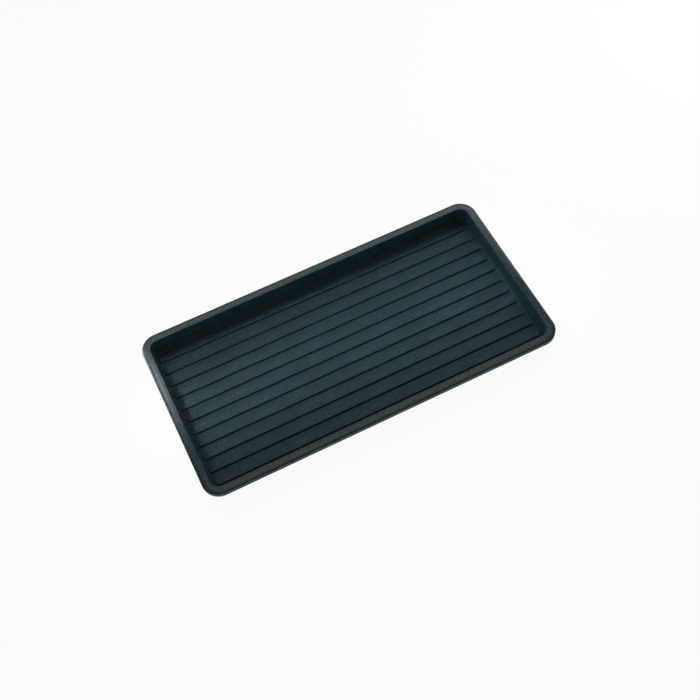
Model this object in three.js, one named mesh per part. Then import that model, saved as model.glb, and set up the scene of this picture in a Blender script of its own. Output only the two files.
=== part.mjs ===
// Shallow microgreen growing tray: a ridged floor, sloping walls and a rim that turns down all round.
// Millimetres, +Z up. The origin is on the ground, under the middle of the tray.
// X runs along the tray and Y across it. Front is -Y, rear is +Y, left is -X and right is +X.
// The real tray is one moulding. It is divided here at its own features, which meet on flat cuts.
import * as THREE from 'three';

// Overall sizes
const trayLength = 541; // over the rim
const trayWidth = 275; // over the rim
const trayHeight = 28; // from the ground to the top of the rim
const sheet = 2; // thickness of the plastic

// Rim and walls
const rimWidth = 12; // from the opening to the outer edge
const rimRound = 2; // height of the rim's rounded shoulder
const shoulderPower = 4; // 2 is an ellipse, more is flatter on top with a tighter edge
const lipDrop = 8; // from the top of the rim to the lower edge of the lip
const wallInset = 4; // how far a wall's foot lies inside its top
const floorCornerRadius = 9.5; // inside, at the foot of the walls

// Ridges on the floor
const ridgePitch = 21.5;
const ridgeTopWidth = 9;
const ridgeHeight = 2.5; // above the floor
const ridgeLean = 0.5; // how far a ridge's sides spread from top to foot
const ridgeCornerRadius = 2; // at the top of its ends
const ridgeSideMargin = 5; // least clear floor beside the outer ridges
const ridgeEndGap = 2; // clear floor between a ridge's end and the wall

// Fineness of the curves
const cornerSteps = 8;
const shoulderSteps = 6;
const ridgeCornerSteps = 3;

// Sizes that follow
const openingRadius = floorCornerRadius + wallInset;
const cornerX = trayLength / 2 - rimWidth - openingRadius; // centres of the corner curves
const cornerY = trayWidth / 2 - rimWidth - openingRadius;
const floorHalfLength = cornerX + floorCornerRadius;
const floorHalfWidth = cornerY + floorCornerRadius;
const wallSlope = wallInset / (trayHeight - sheet);
const rimUnderside = trayHeight - sheet;
const wallTopInside = -wallSlope * sheet; // where the wall's inner face passes the rim's underside
const ridgeFootWidth = ridgeTopWidth + 2 * ridgeLean;
const ridgeSpan = 2 * (floorHalfWidth - ridgeSideMargin) - ridgeFootWidth;
const ridgeCount = 1 + Math.floor(ridgeSpan / ridgePitch);

const tray = new THREE.Group();

function addPiece(name, geometry) {
  const plastic = new THREE.MeshStandardMaterial({ color: 0x2e3c40, roughness: 0.45, metalness: 0 });
  const piece = new THREE.Mesh(geometry, plastic);
  piece.name = name;
  tray.add(piece);
}

function solid(points, triangles) {
  const geometry = new THREE.BufferGeometry().setFromPoints(points);
  geometry.setIndex(triangles);
  geometry.computeVertexNormals();
  return geometry;
}

// Closed solid between rings of equal count, each counter-clockwise from above.
// The first ring is closed by a face that looks down, the last by one that looks up.
function stackRings(rings) {
  const count = rings[0].length;
  const triangles = [];
  for (let level = 0; level + 1 < rings.length; level += 1) {
    for (let i = 0; i < count; i += 1) {
      const next = (i + 1) % count;
      const a = level * count + i;
      const b = level * count + next;
      const c = b + count;
      const d = a + count;
      triangles.push(a, b, c, a, c, d);
    }
  }
  const last = (rings.length - 1) * count;
  for (let i = 1; i + 1 < count; i += 1) {
    triangles.push(0, i + 1, i);
    triangles.push(last, last + i, last + i + 1);
  }
  return solid(rings.flat(), triangles);
}

// Closed solid of a section carried through stations, going counter-clockwise round the tray.
// A section point is its distance out from the opening's edge and its height, counter-clockwise.
function sweepSection(section, stations) {
  const count = section.length;
  const points = [];
  for (const station of stations) {
    for (const { x: out, y: up } of section) {
      const reach = openingRadius + out;
      points.push(new THREE.Vector3(station.x + reach * station.outX, station.y + reach * station.outY, up));
    }
  }
  const triangles = [];
  for (let step = 0; step + 1 < stations.length; step += 1) {
    for (let i = 0; i < count; i += 1) {
      const next = (i + 1) % count;
      const a = step * count + i;
      const b = step * count + next;
      const c = b + count;
      const d = a + count;
      triangles.push(a, d, c, a, c, b);
    }
  }
  const last = (stations.length - 1) * count;
  for (const [i, j, k] of THREE.ShapeUtils.triangulateShape(section, [])) {
    triangles.push(i, j, k);
    triangles.push(last + i, last + k, last + j);
  }
  return solid(points, triangles);
}

// Rounded rectangle at one height, counter-clockwise from above
function roundedRectangle(middleY, halfLength, halfWidth, radius, height, steps) {
  const points = [];
  const signs = [[1, 1], [-1, 1], [-1, -1], [1, -1]];
  signs.forEach(([signX, signY], quarter) => {
    for (let step = 0; step <= steps; step += 1) {
      const angle = (quarter + step / steps) * Math.PI / 2;
      const x = signX * (halfLength - radius) + radius * Math.cos(angle);
      const y = middleY + signY * (halfWidth - radius) + radius * Math.sin(angle);
      points.push(new THREE.Vector3(x, y, height));
    }
  });
  return points;
}

// Ridges: hollow caps that stand on the floor, over slots of the same outline as their hollows
function ridgeHalfLength(middleY) {
  const pastCorner = Math.max(0, Math.abs(middleY) + ridgeFootWidth / 2 - cornerY);
  const cornerReach = Math.sqrt(floorCornerRadius ** 2 - pastCorner ** 2);
  return cornerX + cornerReach - ridgeEndGap;
}

function ridgeOutline(middleY, spread, height) {
  const halfLength = ridgeHalfLength(middleY) - ridgeLean + spread;
  const radius = ridgeCornerRadius + Math.max(spread, -ridgeCornerRadius / 2);
  return roundedRectangle(middleY, halfLength, ridgeTopWidth / 2 + spread, radius, height, ridgeCornerSteps);
}

const ridgePlaces = [];
for (let i = 0; i < ridgeCount; i += 1) {
  ridgePlaces.push((i - (ridgeCount - 1) / 2) * ridgePitch);
}
const hollowSpread = ridgeLean - sheet;

ridgePlaces.forEach((middleY, i) => {
  const rings = [
    ridgeOutline(middleY, hollowSpread, ridgeHeight),
    ridgeOutline(middleY, hollowSpread, sheet),
    ridgeOutline(middleY, ridgeLean, sheet),
    ridgeOutline(middleY, 0, sheet + ridgeHeight),
  ];
  addPiece(`floor_ridge_${String(i + 1).padStart(2, '0')}`, stackRings(rings));
});

// Floor: a plate with rounded corners that carries the walls and the ridges
function floorPlate() {
  const edge = floorCornerRadius + sheet;
  const outline = roundedRectangle(0, cornerX + edge, cornerY + edge, edge, 0, cornerSteps);
  const plate = new THREE.Shape(outline);
  for (const middleY of ridgePlaces) {
    plate.holes.push(new THREE.Path(ridgeOutline(middleY, hollowSpread, 0)));
  }
  return new THREE.ExtrudeGeometry(plate, { depth: sheet, bevelEnabled: false });
}

addPiece('floor_plate', floorPlate());

// Wall section: stands on the floor and leans out to the underside of the rim
const wallSection = [
  new THREE.Vector2(-wallInset, sheet),
  new THREE.Vector2(-wallInset + sheet, sheet),
  new THREE.Vector2(wallTopInside + sheet, rimUnderside),
  new THREE.Vector2(wallTopInside, rimUnderside),
];

// Rim section: a flat underside on the wall, a lip that turns down, and a rounded shoulder above it
function rimSection() {
  const lipEdge = trayHeight - lipDrop;
  const section = [
    new THREE.Vector2(wallTopInside, rimUnderside),
    new THREE.Vector2(rimWidth - sheet, rimUnderside),
    new THREE.Vector2(rimWidth - sheet, lipEdge),
    new THREE.Vector2(rimWidth, lipEdge),
  ];
  for (let step = shoulderSteps; step >= 0; step -= 1) {
    const angle = (step / shoulderSteps) * Math.PI / 2;
    const out = rimWidth * Math.sin(angle) ** (2 / shoulderPower);
    const rise = rimRound * Math.abs(Math.cos(angle)) ** (2 / shoulderPower);
    section.push(new THREE.Vector2(out, trayHeight - rimRound + rise));
  }
  return section;
}

// Corners and sides, counter-clockwise from the rear right corner
const corners = [
  { name: 'rear_right', nextSide: 'rear', x: cornerX, y: cornerY },
  { name: 'rear_left', nextSide: 'left', x: -cornerX, y: cornerY },
  { name: 'front_left', nextSide: 'front', x: -cornerX, y: -cornerY },
  { name: 'front_right', nextSide: 'right', x: cornerX, y: -cornerY },
];

function station(corner, quarterTurns) {
  const angle = quarterTurns * Math.PI / 2;
  return { x: corner.x, y: corner.y, outX: Math.cos(angle), outY: Math.sin(angle) };
}

function addBand(kind, section) {
  corners.forEach((corner, quarter) => {
    const turn = [];
    for (let step = 0; step <= cornerSteps; step += 1) {
      turn.push(station(corner, quarter + step / cornerSteps));
    }
    const following = corners[(quarter + 1) % corners.length];
    const run = [station(corner, quarter + 1), station(following, quarter + 1)];
    addPiece(`${kind}_corner_${corner.name}`, sweepSection(section, turn));
    addPiece(`${kind}_${corner.nextSide}`, sweepSection(section, run));
  });
}

addBand('wall', wallSection);
addBand('rim', rimSection());

export default tray;
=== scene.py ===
# %% [markdown]
# # A microgreen growing tray
# The object is one shallow tray of dark polypropylene: a ridged floor, four walls that lean outwards
# and a wide rim that turns down into a lip. It is pressed or injected in one shot, so it has no seams.
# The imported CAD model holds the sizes, in pieces that suit a physics engine. This lesson gives the tray
# what those pieces can't show: one unbroken skin with moulded roundings, its plastic, and a plain white
# studio to be seen in.

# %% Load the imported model
import math

import bpy
from mathutils import Matrix, Vector


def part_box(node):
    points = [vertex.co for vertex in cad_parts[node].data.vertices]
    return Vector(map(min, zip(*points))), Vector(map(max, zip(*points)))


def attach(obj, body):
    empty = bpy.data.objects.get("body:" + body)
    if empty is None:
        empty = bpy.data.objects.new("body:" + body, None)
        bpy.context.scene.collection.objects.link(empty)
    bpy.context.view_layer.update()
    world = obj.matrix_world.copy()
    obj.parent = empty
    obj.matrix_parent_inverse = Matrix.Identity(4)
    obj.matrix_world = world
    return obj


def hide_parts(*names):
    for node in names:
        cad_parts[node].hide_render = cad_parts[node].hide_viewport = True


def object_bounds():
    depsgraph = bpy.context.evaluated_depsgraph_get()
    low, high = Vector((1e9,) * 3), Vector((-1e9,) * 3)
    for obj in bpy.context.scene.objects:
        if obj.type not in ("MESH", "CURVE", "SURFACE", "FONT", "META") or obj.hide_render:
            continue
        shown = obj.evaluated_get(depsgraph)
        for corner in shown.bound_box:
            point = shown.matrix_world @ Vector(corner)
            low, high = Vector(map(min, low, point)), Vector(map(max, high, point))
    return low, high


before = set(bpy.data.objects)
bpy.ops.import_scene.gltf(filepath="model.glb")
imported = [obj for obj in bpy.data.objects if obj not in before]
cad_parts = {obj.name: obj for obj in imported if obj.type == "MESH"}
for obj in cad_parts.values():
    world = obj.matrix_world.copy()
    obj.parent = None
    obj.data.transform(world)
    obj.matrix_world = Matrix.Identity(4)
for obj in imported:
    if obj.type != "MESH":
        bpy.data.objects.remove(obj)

cad_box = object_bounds()
scene = bpy.context.scene
print(f"{len(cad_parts)} CAD nodes, reaching to", [round(size, 4) for size in cad_box[1]])

# %% [markdown]
# ## Sizes from the drawing
# A mould maker reads every size from the drawing. Here the drawing is the CAD model, so the boxes of a
# few of its nodes give the sizes, and nothing is measured twice. Blender works in metres. Sections are
# easier to read in millimetres, so sizes are kept in millimetres here and `MM` turns them into metres
# where they are used.

# %% Read the sizes
MM = 0.001

half_length, half_width, rim_top = (size / MM for size in cad_box[1])
floor_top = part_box("floor_plate")[1].z / MM
wall_low, wall_high = (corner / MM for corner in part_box("wall_right"))
rim_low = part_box("rim_right")[0] / MM
corner_low, corner_high = (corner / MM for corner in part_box("rim_corner_rear_right"))
ridge_low, ridge_high = (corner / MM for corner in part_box("floor_ridge_06"))

sheet = floor_top
rim_underside = wall_high.z
lip_bottom = rim_low.z
wall_slope = (rim_low.x - wall_low.x) / (rim_underside - floor_top)
opening_half_length = rim_low.x + wall_slope * (rim_top - rim_underside)
rim_width = half_length - opening_half_length
opening_half_width = half_width - rim_width
opening_radius = corner_high.x - corner_low.x - rim_width
wall_inset = opening_half_length - wall_low.x
print(f"half opening {opening_half_length:.2f} x {opening_half_width:.2f} mm, radius {opening_radius:.2f}")
print(f"rim {rim_width:.2f} mm wide, lip down to {lip_bottom:.2f}, wall foot {wall_inset:.2f} inside")

ridge_count = sum(name.startswith("floor_ridge_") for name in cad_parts)
ridge_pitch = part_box("floor_ridge_07")[0].y / MM - ridge_low.y
ridge_top = ridge_high.z
RIDGE_LEAN = 0.5  # how far a ridge's sides spread from its top to its foot
print(f"{ridge_count} ridges every {ridge_pitch:.2f} mm, up to {ridge_top:.2f} mm")

# %% [markdown]
# ## Two small helpers
# Materials and Geometry Nodes are both trees of nodes. Each node needs a kind, a few settings, and for
# each input either a value or a link from another node's output. One function does that for every kind
# of node. The other turns a colour as it is written for a screen, sRGB hex, into the linear light that
# shaders work in.

# %% Add a node, read a colour
def add_node(tree, kind, inputs=None, **settings):
    node = tree.nodes.new(kind)
    for name, value in settings.items():
        setattr(node, name, value)
    for name, value in (inputs or {}).items():
        if isinstance(value, bpy.types.NodeSocket):
            tree.links.new(value, node.inputs[name])
        else:
            node.inputs[name].default_value = value
    return node


def linear(hex_colour):
    channels = [int(hex_colour[i:i + 2], 16) / 255 for i in (1, 3, 5)]
    return [c / 12.92 if c <= 0.04045 else ((c + 0.055) / 1.055) ** 2.4 for c in channels] + [1.0]


print("mid grey in linear light:", round(linear("#808080")[0], 3))

# %% [markdown]
# ## The plastic
# Trays like this are moulded from polypropylene that is coloured right through with a dark blue-black
# pigment. The mould is blasted to a fine matt grain over the floor and walls, which hides scratches and
# flow marks. The rim is left smoother, because hands and other trays slide along it, and blasting hardly
# reaches the corners of the grooves that form the ridges, so the edges of the ridges shine a little. A
# plain colour would look like paint. Four things make it plastic here: a faint clouding of the pigment,
# a fine speckle, the change of gloss from floor to rim, and the fine grain as a bump. All of it is
# worked out from the piece's own coordinates, with sizes in millimetres, so it stays in place from
# every side.

# %% Moulded polypropylene
# Gives the eye a dark blue-black body with a fine speckle, dull on the floor and satin on the rim
CLOUD_SIZE = 45
GRAIN_SIZE = 2.1  # the real grain, about 0.3 mm, would be finer than a pixel
GRAIN_DEPTH = 0.03
GRAIN_STRENGTH = 0.12
SPECKLE_SHARE = 0.88  # of the unevenness of the colour, the rest is clouding
DARK_AT, PALE_AT = 0.4, 0.6  # unevenness that gives the darkest and the palest colour
DARK_PIGMENT, PALE_PIGMENT = "#112329", "#27424a"
DULL_UP_TO, SATIN_FROM = rim_top - 4, rim_top - 1.5  # heights between which the finish changes
FLOOR_ROUGHNESS, RIM_ROUGHNESS = 0.6, 0.2
FLOOR_GLOSS, RIM_GLOSS = 0.15, 0.28
EDGE_GLOSS = 0.6  # what the edges of the ridges have more than the floor
EDGE_DROP, EDGE_REACH = 0.35, 0.32  # from a ridge's top down to mid edge, and up and down from there
REFRACTION = 1.49

polypropylene = bpy.data.materials.new("moulded_polypropylene")
polypropylene.use_nodes = True
tree = polypropylene.node_tree
shader = tree.nodes["Principled BSDF"]
own_place = add_node(tree, "ShaderNodeTexCoord").outputs["Object"]
cloud = add_node(tree, "ShaderNodeTexNoise", {
    "Vector": own_place, "Scale": 1 / (CLOUD_SIZE * MM), "Detail": 3.0})
grain = add_node(tree, "ShaderNodeTexNoise", {
    "Vector": own_place, "Scale": 1 / (GRAIN_SIZE * MM), "Detail": 2.0})
unevenness = add_node(tree, "ShaderNodeMix", {
    "Factor": SPECKLE_SHARE, "A": cloud.outputs["Fac"], "B": grain.outputs["Fac"]}, data_type="FLOAT")
paleness = add_node(tree, "ShaderNodeMapRange", {
    "Value": unevenness.outputs["Result"], "From Min": DARK_AT, "From Max": PALE_AT})
body_colour = add_node(tree, "ShaderNodeMix", {
    "Factor": paleness.outputs["Result"], "A": linear(DARK_PIGMENT), "B": linear(PALE_PIGMENT)},
    data_type="RGBA")
own_height = add_node(tree, "ShaderNodeSeparateXYZ", {"Vector": own_place})
roughness = add_node(tree, "ShaderNodeMapRange", {
    "Value": own_height.outputs["Z"], "From Min": DULL_UP_TO * MM, "From Max": SATIN_FROM * MM,
    "To Min": FLOOR_ROUGHNESS, "To Max": RIM_ROUGHNESS})
gloss = add_node(tree, "ShaderNodeMapRange", {
    "Value": own_height.outputs["Z"], "From Min": DULL_UP_TO * MM, "From Max": SATIN_FROM * MM,
    "To Min": FLOOR_GLOSS, "To Max": RIM_GLOSS})
on_edge = add_node(tree, "ShaderNodeMath", {
    0: own_height.outputs["Z"], 1: (ridge_top - EDGE_DROP) * MM, 2: EDGE_REACH * MM}, operation="COMPARE")
edge_gloss = add_node(tree, "ShaderNodeMath", {
    0: on_edge.outputs["Value"], 1: EDGE_GLOSS, 2: gloss.outputs["Result"]}, operation="MULTIPLY_ADD")
bump = add_node(tree, "ShaderNodeBump", {
    "Height": grain.outputs["Fac"], "Strength": GRAIN_STRENGTH, "Distance": GRAIN_DEPTH * MM})
tree.links.new(body_colour.outputs["Result"], shader.inputs["Base Color"])
tree.links.new(roughness.outputs["Result"], shader.inputs["Roughness"])
tree.links.new(edge_gloss.outputs["Value"], shader.inputs["Specular IOR Level"])
tree.links.new(bump.outputs["Normal"], shader.inputs["Normal"])
shader.inputs["IOR"].default_value = REFRACTION
print(f"{polypropylene.name}: {len(tree.nodes)} nodes")

# %% [markdown]
# ## Drawing a section
# The walls and the rim have the same section all the way round, so the tray can be drawn once, as a
# line, and carried round its outline. A moulded part has no sharp corners: a sharp one would tear the
# sheet or stick in the mould. Each corner of the line is given with its radius, and the function puts
# an arc there. A short straight strip on each side of an arc keeps the smooth shading of the arc from
# leaking into the flat faces beside it. The line becomes a curve object, because Geometry Nodes can
# carry one curve along another.

# %% Round the corners of a section
def rounded(corners, arc_steps, strip):
    points = [Vector(corners[0][:2])]
    for before, (out, up, radius), after in zip(corners, corners[1:], corners[2:]):
        corner = Vector((out, up))
        if not radius:
            points.append(corner)
            continue
        arriving = (corner - Vector(before[:2])).normalized()
        leaving = (Vector(after[:2]) - corner).normalized()
        turn = math.atan2(arriving.cross(leaving), arriving.dot(leaving))
        reach = radius * math.tan(abs(turn) / 2)
        to_centre = math.copysign(radius, turn) * Vector((-arriving.y, arriving.x))
        centre = corner - arriving * reach + to_centre
        points.append(corner - arriving * (reach + strip))
        for step in range(arc_steps + 1):
            points.append(centre + Matrix.Rotation(turn * step / arc_steps, 2) @ -to_centre)
        points.append(corner + leaving * (reach + strip))
    points.append(Vector(corners[-1][:2]))
    return points


def section_curve(name, points):
    """A curve to carry round an outline. Curve to Mesh turns y downwards, so up is given as -y."""
    curve = bpy.data.curves.new(name, "CURVE")
    spline = curve.splines.new("POLY")
    spline.points.add(len(points) - 1)
    for target, (out, up) in zip(spline.points, points):
        target.co = (out * MM, -up * MM, 0, 1)
    section = bpy.data.objects.new(name, curve)
    scene.collection.objects.link(section)
    print(f"{name}: {len(points)} points")
    return section

# %% [markdown]
# ## The wall and rim section
# The line starts on the floor, climbs the inside of the wall, crosses the rim, turns down the lip, and
# comes back under the rim and down the outside of the wall to the underside. Its sideways zero is the
# edge of the opening. The rim of the real tray is almost flat on top and falls away quickly at its
# outer edge. A circle can't do that, so the shoulder is a superellipse: a power of 2 would be an
# ellipse, and 4 is flatter on top. The first and last points lie a little way in on the floor and the
# underside, which are filled in later.

# %% Wall and rim section
RIM_ROUND = 2  # height of the shoulder
SHOULDER_POWER = 4
SHOULDER_STEPS = 24
shoulder = []
for step in range(1, SHOULDER_STEPS + 1):
    angle = step / SHOULDER_STEPS * math.pi / 2
    out = rim_width * math.sin(angle) ** (2 / SHOULDER_POWER)
    rise = RIM_ROUND * abs(math.cos(angle)) ** (2 / SHOULDER_POWER)
    shoulder.append((out, rim_top - RIM_ROUND + rise, 0))

FOOT_RADIUS, OPENING_RADIUS, LIP_RADIUS = 0.6, 0.6, 0.3
LIP_INSIDE_RADIUS, UNDER_RIM_RADIUS, BOTTOM_RADIUS = 0.8, 1.2, 1.8
FLOOR_STRIP, SHOULDER_STRIP, UNDERSIDE_STRIP = 1.6, 0.3, 2.2
outside_top = sheet - wall_slope * (rim_top - rim_underside)
outside_foot = -wall_inset + sheet - wall_slope * floor_top
wall_and_rim = section_curve("wall_and_rim_section", rounded([
    (-wall_inset - FLOOR_STRIP, floor_top),
    (-wall_inset, floor_top, FOOT_RADIUS),
    (0, rim_top, OPENING_RADIUS),
    *shoulder,
    (rim_width, rim_top - RIM_ROUND - SHOULDER_STRIP, 0),
    (rim_width, lip_bottom, LIP_RADIUS),
    (rim_width - sheet, lip_bottom, LIP_RADIUS),
    (rim_width - sheet, rim_underside, LIP_INSIDE_RADIUS),
    (outside_top, rim_underside, UNDER_RIM_RADIUS),
    (outside_foot, 0, BOTTOM_RADIUS),
    (outside_foot - UNDERSIDE_STRIP, 0),
], arc_steps=5, strip=0.2))

# %% [markdown]
# ## The ridge sections
# The ridges stiffen the floor and hold a growing mat out of the water. In a sheet of even thickness
# each ridge is hollow underneath, because thick plastic cools slowly and sinks. A ridge is a small tray
# turned over, so it is drawn in the same way: one line for its sides, from its top down to the floor,
# and one for its hollow, from the underside up. Their sideways zero is the edge of the ridge's flat top
# and the edge of the hollow.

# %% Ridge sections
RIDGE_EDGE_RADIUS, RIDGE_FOOT_RADIUS = 0.6, 0.3
RIDGE_TOP_STRIP, RIDGE_FOOT_STRIP = 1.2, 0.36
HOLLOW_MOUTH_RADIUS, HOLLOW_TOP_RADIUS = 0.3, 0.4
HOLLOW_MOUTH_STRIP, HOLLOW_TOP_STRIP = 0.8, 0.7
hollow_top = ridge_top - sheet
ridge_section = section_curve("ridge_section", rounded([
    (-RIDGE_TOP_STRIP, ridge_top),
    (0, ridge_top, RIDGE_EDGE_RADIUS),
    (RIDGE_LEAN, floor_top, RIDGE_FOOT_RADIUS),
    (RIDGE_LEAN + RIDGE_FOOT_STRIP, floor_top),
], arc_steps=4, strip=0.1))
hollow_section = section_curve("hollow_section", rounded([
    (HOLLOW_MOUTH_STRIP, 0),
    (0, 0, HOLLOW_MOUTH_RADIUS),
    (0, hollow_top, HOLLOW_TOP_RADIUS),
    (-HOLLOW_TOP_STRIP, hollow_top),
], arc_steps=3, strip=0.2))

# %% [markdown]
# ## A group that carries a section round
# A node group is a tool that is built once and used several times: here for the rim, the ridges and
# their hollows. Quadrilateral draws a rectangle, Fillet Curve rounds its corners in short steps, and
# Curve to Mesh carries the section round it. The straight sides would get no points of their own, and
# then nothing could bend them later. Each corner has one point more than it has steps, and its last
# point begins a straight side, so Subdivide Curve adds its cuts after those points only.

# %% Sweep group
def new_group(name, inputs):
    """A geometry tree with named inputs. Returns the tree, its input sockets and its output sockets."""
    group = bpy.data.node_groups.new(name, "GeometryNodeTree")
    for label, kind in inputs:
        group.interface.new_socket(label, in_out="INPUT", socket_type="NodeSocket" + kind)
    group.interface.new_socket("Geometry", in_out="OUTPUT", socket_type="NodeSocketGeometry")
    return group, group.nodes.new("NodeGroupInput").outputs, group.nodes.new("NodeGroupOutput").inputs


sweep, given, result = new_group("Sweep Round Outline", [
    ("Length", "Float"), ("Width", "Float"), ("Radius", "Float"), ("Corner Steps", "Int"),
    ("Side Cuts", "Int"), ("Section", "Object")])
outline = add_node(sweep, "GeometryNodeCurvePrimitiveQuadrilateral", {
    "Width": given["Length"], "Height": given["Width"]})
rounded_outline = add_node(sweep, "GeometryNodeFilletCurve", {
    "Curve": outline.outputs["Curve"], "Radius": given["Radius"],
    "Count": given["Corner Steps"]}, mode="POLY")
index = add_node(sweep, "GeometryNodeInputIndex")
points_per_corner = add_node(sweep, "ShaderNodeMath", {0: given["Corner Steps"], 1: 1.0}, operation="ADD")
point_in_corner = add_node(sweep, "ShaderNodeMath", {
    0: index.outputs["Index"], 1: points_per_corner.outputs["Value"]}, operation="MODULO")
begins_side = add_node(sweep, "FunctionNodeCompare", {
    "A": point_in_corner.outputs["Value"], "B": given["Corner Steps"], "Epsilon": 0.5}, operation="EQUAL")
cuts = add_node(sweep, "ShaderNodeMath", {
    0: begins_side.outputs["Result"], 1: given["Side Cuts"]}, operation="MULTIPLY")
path = add_node(sweep, "GeometryNodeSubdivideCurve", {
    "Curve": rounded_outline.outputs["Curve"], "Cuts": cuts.outputs["Value"]})
drawn = add_node(sweep, "GeometryNodeObjectInfo", {"Object": given["Section"]})
skin = add_node(sweep, "GeometryNodeCurveToMesh", {
    "Curve": path.outputs["Curve"], "Profile Curve": drawn.outputs["Geometry"]})
sweep.links.new(skin.outputs["Mesh"], result["Geometry"])
print(f"{sweep.name}: {len(sweep.nodes)} nodes")

# %% [markdown]
# ## A group that fills flat openings
# The carried sections leave openings: the floor between the walls and the ridges, each ridge's top, and
# the underside. All of them are flat. An edge with only one face is an open edge, so this group picks
# the open edges at one height, turns them into curves and fills those. Fill Curve works on the ground,
# so its sheet is lifted to the height afterwards. A loop inside another becomes a hole, which leaves
# room for the ridges.

# %% Fill group
LEVEL_TOLERANCE = 0.05
fill, given, result = new_group("Fill Open Loops", [("Mesh", "Geometry"), ("Height", "Float")])
neighbours = add_node(fill, "GeometryNodeInputMeshEdgeNeighbors")
is_open = add_node(fill, "FunctionNodeCompare", {
    "A": neighbours.outputs["Face Count"], "B": 1.0, "Epsilon": 0.5}, operation="EQUAL")
position = add_node(fill, "GeometryNodeInputPosition")
split = add_node(fill, "ShaderNodeSeparateXYZ", {"Vector": position.outputs["Position"]})
is_level = add_node(fill, "FunctionNodeCompare", {
    "A": split.outputs["Z"], "B": given["Height"], "Epsilon": LEVEL_TOLERANCE * MM}, operation="EQUAL")
on_opening = add_node(fill, "FunctionNodeBooleanMath", {
    0: is_open.outputs["Result"], 1: is_level.outputs["Result"]}, operation="AND")
loops = add_node(fill, "GeometryNodeMeshToCurve", {
    "Mesh": given["Mesh"], "Selection": on_opening.outputs["Boolean"]})
flat = add_node(fill, "GeometryNodeFillCurve", {"Curve": loops.outputs["Curve"]})
lift = add_node(fill, "ShaderNodeCombineXYZ", {"Z": given["Height"]})
lifted = add_node(fill, "GeometryNodeTransform", {
    "Geometry": flat.outputs["Mesh"], "Translation": lift.outputs["Vector"]})
fill.links.new(lifted.outputs["Geometry"], result["Geometry"])
print(f"{fill.name}: {len(fill.nodes)} nodes")

# %% [markdown]
# ## The tray's inputs
# The main tree gets every size by name, like a data sheet. Anyone who opens it can change the pitch of
# the ridges or the width of the tray without touching a node. The values come from the sizes read
# above.

# %% Tray inputs
RIDGE_CORNER_RADIUS, HOLLOW_CORNER_RADIUS = 2, 1
TRAY_INPUTS = {
    "Opening Length": ("Float", 2 * opening_half_length * MM),
    "Opening Width": ("Float", 2 * opening_half_width * MM),
    "Opening Radius": ("Float", opening_radius * MM),
    "Corner Steps": ("Int", 24),
    "Side Cuts": ("Int", 24),
    "Wall And Rim Section": ("Object", wall_and_rim),
    "Ridge Count": ("Int", ridge_count),
    "Ridge Pitch": ("Float", ridge_pitch * MM),
    "Ridge Length": ("Float", 2 * (ridge_high.x - RIDGE_LEAN) * MM),
    "Ridge Width": ("Float", 2 * (ridge_high.y - RIDGE_LEAN) * MM),
    "Ridge Radius": ("Float", RIDGE_CORNER_RADIUS * MM),
    "Ridge Steps": ("Int", 6),
    "Ridge Section": ("Object", ridge_section),
    "Ridge Top": ("Float", ridge_top * MM),
    "Hollow Length": ("Float", 2 * (ridge_high.x - sheet) * MM),
    "Hollow Width": ("Float", 2 * (ridge_high.y - sheet) * MM),
    "Hollow Radius": ("Float", HOLLOW_CORNER_RADIUS * MM),
    "Hollow Section": ("Object", hollow_section),
    "Hollow Top": ("Float", hollow_top * MM),
    "Floor Top": ("Float", floor_top * MM),
    "Rim Underside": ("Float", rim_underside * MM),
    "End Bow": ("Float", wall_inset * MM),
    "Bow Reach": ("Float", (opening_half_width - opening_radius) * MM),
    "Lip Start": ("Float", (opening_half_length + rim_width / 2) * MM),
    "Plastic": ("Material", polypropylene),
}
input_kinds = [(label, kind) for label, (kind, _) in TRAY_INPUTS.items()]
moulding, given, result = new_group("Tray Moulding", input_kinds)
print(f"{moulding.name}: {len(TRAY_INPUTS)} inputs")

# %% [markdown]
# ## Walls and rim
# The first sweep makes the walls, the rim and the lip in one band. On the real tray the two end walls
# aren't plain slopes: they stand almost upright in the middle and lean out only towards the corners, so
# that their feet bow outwards. Set Position pushes the foot out by `End Bow` in the middle of each end.
# The push fades with height, to nothing at the rim, and with a smooth step towards the corners. The lip
# hangs as low as the wall does, so it is kept out by its distance from the middle.

# %% Band with upright end walls
band = add_node(moulding, "GeometryNodeGroup", node_tree=sweep, inputs={
    "Length": given["Opening Length"], "Width": given["Opening Width"], "Radius": given["Opening Radius"],
    "Corner Steps": given["Corner Steps"], "Side Cuts": given["Side Cuts"],
    "Section": given["Wall And Rim Section"]})
point = add_node(moulding, "GeometryNodeInputPosition")
point_xyz = add_node(moulding, "ShaderNodeSeparateXYZ", {"Vector": point.outputs["Position"]})
from_rim = add_node(moulding, "ShaderNodeMapRange", {
    "Value": point_xyz.outputs["Z"], "From Min": given["Floor Top"], "From Max": given["Rim Underside"],
    "To Min": 1.0, "To Max": 0.0})
across = add_node(moulding, "ShaderNodeMath", {0: point_xyz.outputs["Y"]}, operation="ABSOLUTE")
from_corner = add_node(moulding, "ShaderNodeMapRange", {
    "Value": across.outputs["Value"], "From Min": 0.0, "From Max": given["Bow Reach"],
    "To Min": 1.0, "To Max": 0.0}, interpolation_type="SMOOTHSTEP")
which_end = add_node(moulding, "ShaderNodeMath", {0: point_xyz.outputs["X"]}, operation="SIGN")
amount = add_node(moulding, "ShaderNodeMath", {
    0: from_rim.outputs["Result"], 1: from_corner.outputs["Result"]}, operation="MULTIPLY")
outwards = add_node(moulding, "ShaderNodeMath", {
    0: amount.outputs["Value"], 1: which_end.outputs["Value"]}, operation="MULTIPLY")
push = add_node(moulding, "ShaderNodeMath", {
    0: outwards.outputs["Value"], 1: given["End Bow"]}, operation="MULTIPLY")
push_along = add_node(moulding, "ShaderNodeCombineXYZ", {"X": push.outputs["Value"]})
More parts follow.
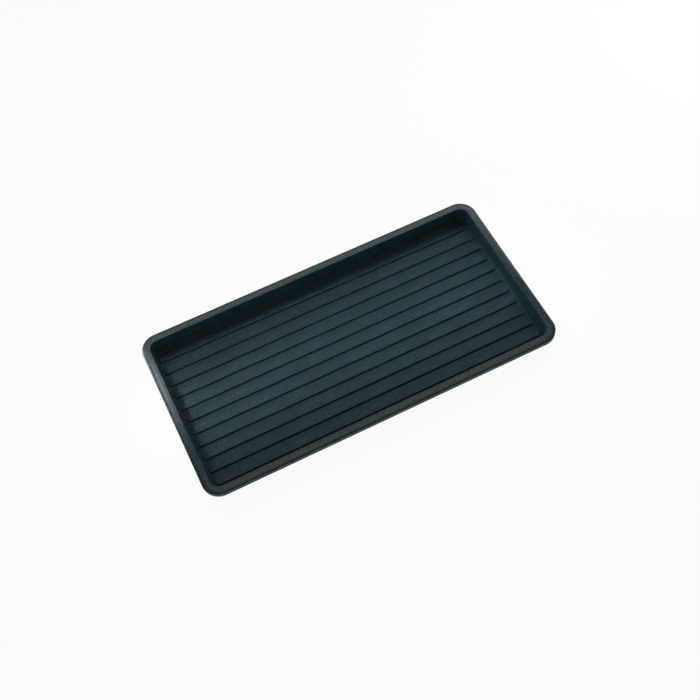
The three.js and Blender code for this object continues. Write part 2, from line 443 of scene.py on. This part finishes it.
from_middle = add_node(moulding, "ShaderNodeMath", {0: point_xyz.outputs["X"]}, operation="ABSOLUTE")
not_lip = add_node(moulding, "FunctionNodeCompare", {
    "A": from_middle.outputs["Value"], "B": given["Lip Start"]}, operation="LESS_THAN")
bowed_band = add_node(moulding, "GeometryNodeSetPosition", {
    "Geometry": band.outputs["Geometry"], "Selection": not_lip.outputs["Result"],
    "Offset": push_along.outputs["Vector"]})
print("walls and rim:", len(moulding.nodes), "nodes so far")

# %% [markdown]
# ## The ridges
# One ridge is made and then copied. Its sides and its hollow are sweeps, and its top and the roof of
# the hollow are fills. The hollow is seen from below, so its roof is flipped to face down. Mesh Line
# sets out a row of points across the floor, one pitch apart and centred, and Instance on Points puts a
# ridge on each. The copies are instances, which share one mesh. Realize Instances makes them real, so
# that the floor can be fitted round them.

# %% A row of ridges
ridge_sides = add_node(moulding, "GeometryNodeGroup", node_tree=sweep, inputs={
    "Length": given["Ridge Length"], "Width": given["Ridge Width"], "Radius": given["Ridge Radius"],
    "Corner Steps": given["Ridge Steps"], "Section": given["Ridge Section"]})
ridge_cap = add_node(moulding, "GeometryNodeGroup", node_tree=fill, inputs={
    "Mesh": ridge_sides.outputs["Geometry"], "Height": given["Ridge Top"]})
hollow_sides = add_node(moulding, "GeometryNodeGroup", node_tree=sweep, inputs={
    "Length": given["Hollow Length"], "Width": given["Hollow Width"], "Radius": given["Hollow Radius"],
    "Corner Steps": given["Ridge Steps"], "Section": given["Hollow Section"]})
hollow_fill = add_node(moulding, "GeometryNodeGroup", node_tree=fill, inputs={
    "Mesh": hollow_sides.outputs["Geometry"], "Height": given["Hollow Top"]})
hollow_roof = add_node(moulding, "GeometryNodeFlipFaces", {"Mesh": hollow_fill.outputs["Geometry"]})
one_ridge = add_node(moulding, "GeometryNodeJoinGeometry")
for part in (hollow_roof.outputs["Mesh"], hollow_sides.outputs["Geometry"],
             ridge_cap.outputs["Geometry"], ridge_sides.outputs["Geometry"]):
    moulding.links.new(part, one_ridge.inputs["Geometry"])

gaps = add_node(moulding, "ShaderNodeMath", {0: given["Ridge Count"], 1: 1.0}, operation="SUBTRACT")
span = add_node(moulding, "ShaderNodeMath", {
    0: gaps.outputs["Value"], 1: given["Ridge Pitch"]}, operation="MULTIPLY")
first = add_node(moulding, "ShaderNodeMath", {0: span.outputs["Value"], 1: -0.5}, operation="MULTIPLY")
first_place = add_node(moulding, "ShaderNodeCombineXYZ", {"Y": first.outputs["Value"]})
one_pitch = add_node(moulding, "ShaderNodeCombineXYZ", {"Y": given["Ridge Pitch"]})
ridge_places = add_node(moulding, "GeometryNodeMeshLine", {
    "Count": given["Ridge Count"], "Start Location": first_place.outputs["Vector"],
    "Offset": one_pitch.outputs["Vector"]}, mode="OFFSET")
copies = add_node(moulding, "GeometryNodeInstanceOnPoints", {
    "Points": ridge_places.outputs["Mesh"], "Instance": one_ridge.outputs["Geometry"]})
ridges = add_node(moulding, "GeometryNodeRealizeInstances", {"Geometry": copies.outputs["Instances"]})
print("ridges added:", len(moulding.nodes), "nodes so far")

# %% [markdown]
# ## Floor, underside and one skin
# The band and the ridges are joined, and the fill group closes what is still open at floor height and
# at the ground: those are the floor sheet and the underside. Everything meets on the same points, so
# Merge by Distance welds it into one closed skin, as the real moulding is. Smooth shading then runs
# over the roundings, and the tree ends with real geometry that carries the plastic.

# %% Close the skin
WELD_DISTANCE = 0.002
open_skin = add_node(moulding, "GeometryNodeJoinGeometry")
for part in (ridges.outputs["Geometry"], bowed_band.outputs["Geometry"]):
    moulding.links.new(part, open_skin.inputs["Geometry"])
floor_sheet = add_node(moulding, "GeometryNodeGroup", node_tree=fill, inputs={
    "Mesh": open_skin.outputs["Geometry"], "Height": given["Floor Top"]})
ground_fill = add_node(moulding, "GeometryNodeGroup", node_tree=fill, inputs={
    "Mesh": open_skin.outputs["Geometry"], "Height": 0.0})
underside = add_node(moulding, "GeometryNodeFlipFaces", {"Mesh": ground_fill.outputs["Geometry"]})
whole = add_node(moulding, "GeometryNodeJoinGeometry")
for part in (underside.outputs["Mesh"], floor_sheet.outputs["Geometry"], open_skin.outputs["Geometry"]):
    moulding.links.new(part, whole.inputs["Geometry"])
welded = add_node(moulding, "GeometryNodeMergeByDistance", {
    "Geometry": whole.outputs["Geometry"], "Distance": WELD_DISTANCE * MM})
smooth = add_node(moulding, "GeometryNodeSetShadeSmooth", {"Geometry": welded.outputs["Geometry"]})
real = add_node(moulding, "GeometryNodeRealizeInstances", {"Geometry": smooth.outputs["Geometry"]})
coated = add_node(moulding, "GeometryNodeSetMaterial", {
    "Geometry": real.outputs["Geometry"], "Material": given["Plastic"]})
moulding.links.new(coated.outputs["Geometry"], result["Geometry"])
print(f"{moulding.name}: {len(moulding.nodes)} nodes")

# %% [markdown]
# ## Press the tray
# The tree is the mould, and this is the moment it closes. An empty object gets the tree as a modifier,
# its inputs are set by their identifiers, and the evaluated result is kept as a plain mesh. The
# modifier and the section curves have done their work and go. A tray that holds water has no open edge,
# and its volume gives its weight, so both are printed: polypropylene weighs about 0.9 g a cubic
# centimetre.

# %% Make the tray
tray = bpy.data.objects.new("tray_moulding", bpy.data.meshes.new("tray_moulding"))
scene.collection.objects.link(tray)
modifier = tray.modifiers.new("Tray Moulding", "NODES")
modifier.node_group = moulding
for item in moulding.interface.items_tree:
    if item.in_out == "INPUT":
        modifier[item.identifier] = TRAY_INPUTS[item.name][1]
bpy.context.view_layer.update()
evaluated = tray.evaluated_get(bpy.context.evaluated_depsgraph_get())
made = bpy.data.meshes.new_from_object(evaluated)
tray.modifiers.remove(modifier)
tray.data = made
made.name = "tray_moulding"
for section in (wall_and_rim, ridge_section, hollow_section):
    bpy.data.objects.remove(section)

edge_uses = {}
for face in made.polygons:
    for key in face.edge_keys:
        edge_uses[key] = edge_uses.get(key, 0) + 1
open_edges = sum(uses != 2 for uses in edge_uses.values())
made.calc_loop_triangles()
# Each triangle makes a tetrahedron with the origin, a sixth of the box on its three edges there
volume = sum(
    made.vertices[a].co.dot(made.vertices[b].co.cross(made.vertices[c].co)) / 6
    for a, b, c in (triangle.vertices for triangle in made.loop_triangles))
cubic_centimetres = volume / (10 * MM) ** 3
print(f"tray: {len(made.loop_triangles)} triangles, {open_edges} open edges, {cubic_centimetres:.1f} cm3")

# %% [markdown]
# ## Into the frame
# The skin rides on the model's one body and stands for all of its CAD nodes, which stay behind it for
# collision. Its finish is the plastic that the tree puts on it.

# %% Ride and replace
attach(tray, "root")
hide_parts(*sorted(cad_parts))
print(f"{tray.name} stands for {len(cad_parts)} nodes")

# %% [markdown]
# ## White paper
# Product photographs are taken on a roll of white paper that runs out of the picture. It is lit so
# brightly that it comes out white, and only the shadow close to the object shows. A paper that is
# merely lit would be grey away from the lamps, so the camera, and anything that reflects the paper,
# sees mostly a plain white light, and a small share of the lit paper, which carries the shadow. Other
# rays see the lit paper only, so the white light doesn't brighten the tray from below.

# %% Floor
# Gives the eye a clean white ground with a faint shadow
FLOOR_REACH = 20  # metres to each side
FLOOR_DROP = 0.5  # keeps the paper clear of the tray's underside
LIT_SHARE = 0.06
corners = [(-FLOOR_REACH, -FLOOR_REACH, 0), (FLOOR_REACH, -FLOOR_REACH, 0),
           (FLOOR_REACH, FLOOR_REACH, 0), (-FLOOR_REACH, FLOOR_REACH, 0)]
floor_mesh = bpy.data.meshes.new("studio_floor")
floor_mesh.from_pydata(corners, [], [(0, 1, 2, 3)])
studio_floor = bpy.data.objects.new("studio_floor", floor_mesh)
studio_floor.location.z = -FLOOR_DROP * MM
scene.collection.objects.link(studio_floor)

paper = bpy.data.materials.new("white_paper")
paper.use_nodes = True
tree = paper.node_tree
lit_paper = tree.nodes["Principled BSDF"]
lit_paper.inputs["Base Color"].default_value = linear("#f4f4f4")
lit_paper.inputs["Roughness"].default_value = 0.9
white_light = add_node(tree, "ShaderNodeEmission", {"Color": linear("#ffffff"), "Strength": 1.0})
ray = add_node(tree, "ShaderNodeLightPath")
seen = add_node(tree, "ShaderNodeMath", {
    0: ray.outputs["Is Camera Ray"], 1: ray.outputs["Is Glossy Ray"]}, operation="MAXIMUM")
seen_or_through = add_node(tree, "ShaderNodeMath", {
    0: seen.outputs["Value"], 1: ray.outputs["Is Transmission Ray"]}, operation="MAXIMUM")
white_share = add_node(tree, "ShaderNodeMath", {
    0: seen_or_through.outputs["Value"], 1: 1 - LIT_SHARE}, operation="MULTIPLY")
paper_look = add_node(tree, "ShaderNodeMixShader", {
    0: white_share.outputs["Value"], 1: lit_paper.outputs["BSDF"], 2: white_light.outputs["Emission"]})
tree.links.new(paper_look.outputs["Shader"], tree.nodes["Material Output"].inputs["Surface"])
floor_mesh.materials.append(paper)
print(f"{studio_floor.name}: {2 * FLOOR_REACH} m across, {LIT_SHARE:.0%} of it lit paper")

# %% [markdown]
# ## The room
# A studio has white walls and a dark ceiling. The walls close the picture where it looks along the
# floor, and they put a pale line into the glossy lip. The dark ceiling keeps the tray's floor deep in
# colour. One number makes the room: the height of the direction a ray leaves in, from level at 0 to
# straight up at 1.

# %% Room
WALL_LIGHT, CEILING_LIGHT = 1.0, 0.05
WALL_UP_TO, CEILING_FROM = 0.1, 0.3
world = bpy.data.worlds.new("studio")
world.use_nodes = True
tree = world.node_tree
direction = add_node(tree, "ShaderNodeTexCoord").outputs["Generated"]
direction_xyz = add_node(tree, "ShaderNodeSeparateXYZ", {"Vector": direction})
room_light = add_node(tree, "ShaderNodeMapRange", {
    "Value": direction_xyz.outputs["Z"], "From Min": WALL_UP_TO, "From Max": CEILING_FROM,
    "To Min": WALL_LIGHT, "To Max": CEILING_LIGHT}, interpolation_type="SMOOTHSTEP")
tree.links.new(room_light.outputs["Result"], tree.nodes["Background"].inputs["Strength"])
tree.nodes["Background"].inputs["Color"].default_value = linear("#ffffff")
scene.world = world
print(f"{world.name}: walls {WALL_LIGHT}, ceiling {CEILING_LIGHT}")

# %% [markdown]
# ## The lights
# The photograph shows how the tray was lit. The ridges have no long shadows: each has only a thin dark
# line along the side that faces the camera. So a strong light runs along the ridges, from a lamp low
# down beyond the right end. The far rim, the near rim, the right rim and a spot on the left rim shine,
# which takes a lamp where each of them would mirror it. The middle of the floor is brighter than its
# edges, so a narrow strip with a grid in front lights the middle only. In Blender a grid is an area
# light's `spread`. A second low lamp, at the near left, keeps the far wall from going black. Each lamp
# stands one metre from the spot it is aimed at. Its line gives its two angles in degrees, its width and
# depth in metres, and its radiance, the brightness of its face. A lamp's power is that times pi and its
# area.

# %% Lights
def softbox(name, elevation, azimuth, width, depth, radiance, target=(0, 0), grid=180, along_tray=False):
    """A lamp one metre from a target in mm. Azimuth 0 is to the right, 90 to the rear."""
    lamp = bpy.data.lights.new(name, "AREA")
    lamp.shape = "RECTANGLE"
    lamp.size = width
    lamp.size_y = depth
    lamp.spread = math.radians(grid)
    lamp.energy = radiance * math.pi * width * depth
    up_angle = math.radians(elevation)
    round_angle = math.radians(azimuth)
    level_part = math.cos(up_angle)
    towards = Vector((
        level_part * math.cos(round_angle), level_part * math.sin(round_angle), math.sin(up_angle)))
    wide_way = Vector((1, 0, 0)) if along_tray else Vector((0, 0, 1)).cross(towards)
    wide_way = (wide_way - wide_way.dot(towards) * towards).normalized()
    turned = Matrix((wide_way, towards.cross(wide_way), towards)).transposed().to_4x4()
    stand = bpy.data.objects.new(name, lamp)
    stand.matrix_world = Matrix.Translation(Vector((*target, 0)) * MM + towards) @ turned
    scene.collection.objects.link(stand)
    print(f"{name}: {elevation} degrees up, {lamp.energy:.2f} W")


# Along the ridges, and into the far wall
softbox("right_low", 22, 18, 0.4, 0.5, 3.6)
softbox("near_left_low", 18, 245, 0.4, 0.3, 3.3)
# Mirrored in the rims
softbox("far_strip", 53, 77, 1.2, 0.12, 4, target=(0, 131), along_tray=True)
softbox("right_box", 47, 48, 0.3, 0.3, 1.6, target=(264, 60))
softbox("left_spot", 59, 97, 0.08, 0.08, 31, target=(-264, 38))
softbox("near_strip", 70, 72, 1.0, 0.28, 1.6, target=(40, -131), along_tray=True)
# On the middle of the floor
softbox("middle_key", 42, 119, 0.6, 0.1, 1.3, target=(10, -4), grid=13, along_tray=True)

# %% [markdown]
# ## The camera
# The photograph was taken from the near left, looking steeply down. The camera's place, turn and lens
# were worked out from the rim: its four straight edges in the picture fit a rectangle of these
# proportions from only one spot. The lens is given for a 36 mm wide sensor. A camera looks along its
# own -Z with +Y up, so the three directions become the columns of its matrix.

# %% Camera
LENS = 53.82
CAMERA_PLACE = Vector((-0.26192, -0.71779, 1.30610))
forward = Vector((0.17370, 0.47230, -0.86415)).normalized()
right = Vector((0.89695, -0.43816, -0.05918)).normalized()
up = right.cross(forward).normalized()
camera_data = bpy.data.cameras.new("camera")
camera_data.lens = LENS
camera_data.sensor_width = 36
camera_data.clip_start = 0.05
camera_data.clip_end = 100
camera = bpy.data.objects.new("camera", camera_data)
camera_turn = Matrix((right, up, -forward)).transposed().to_4x4()
camera.matrix_world = Matrix.Translation(CAMERA_PLACE) @ camera_turn
scene.collection.objects.link(camera)
scene.camera = camera
scene.view_settings.view_transform = "Standard"
look_down = math.degrees(math.asin(-forward.z))
print(f"camera {CAMERA_PLACE.length:.2f} m away, looking {look_down:.0f} degrees down")
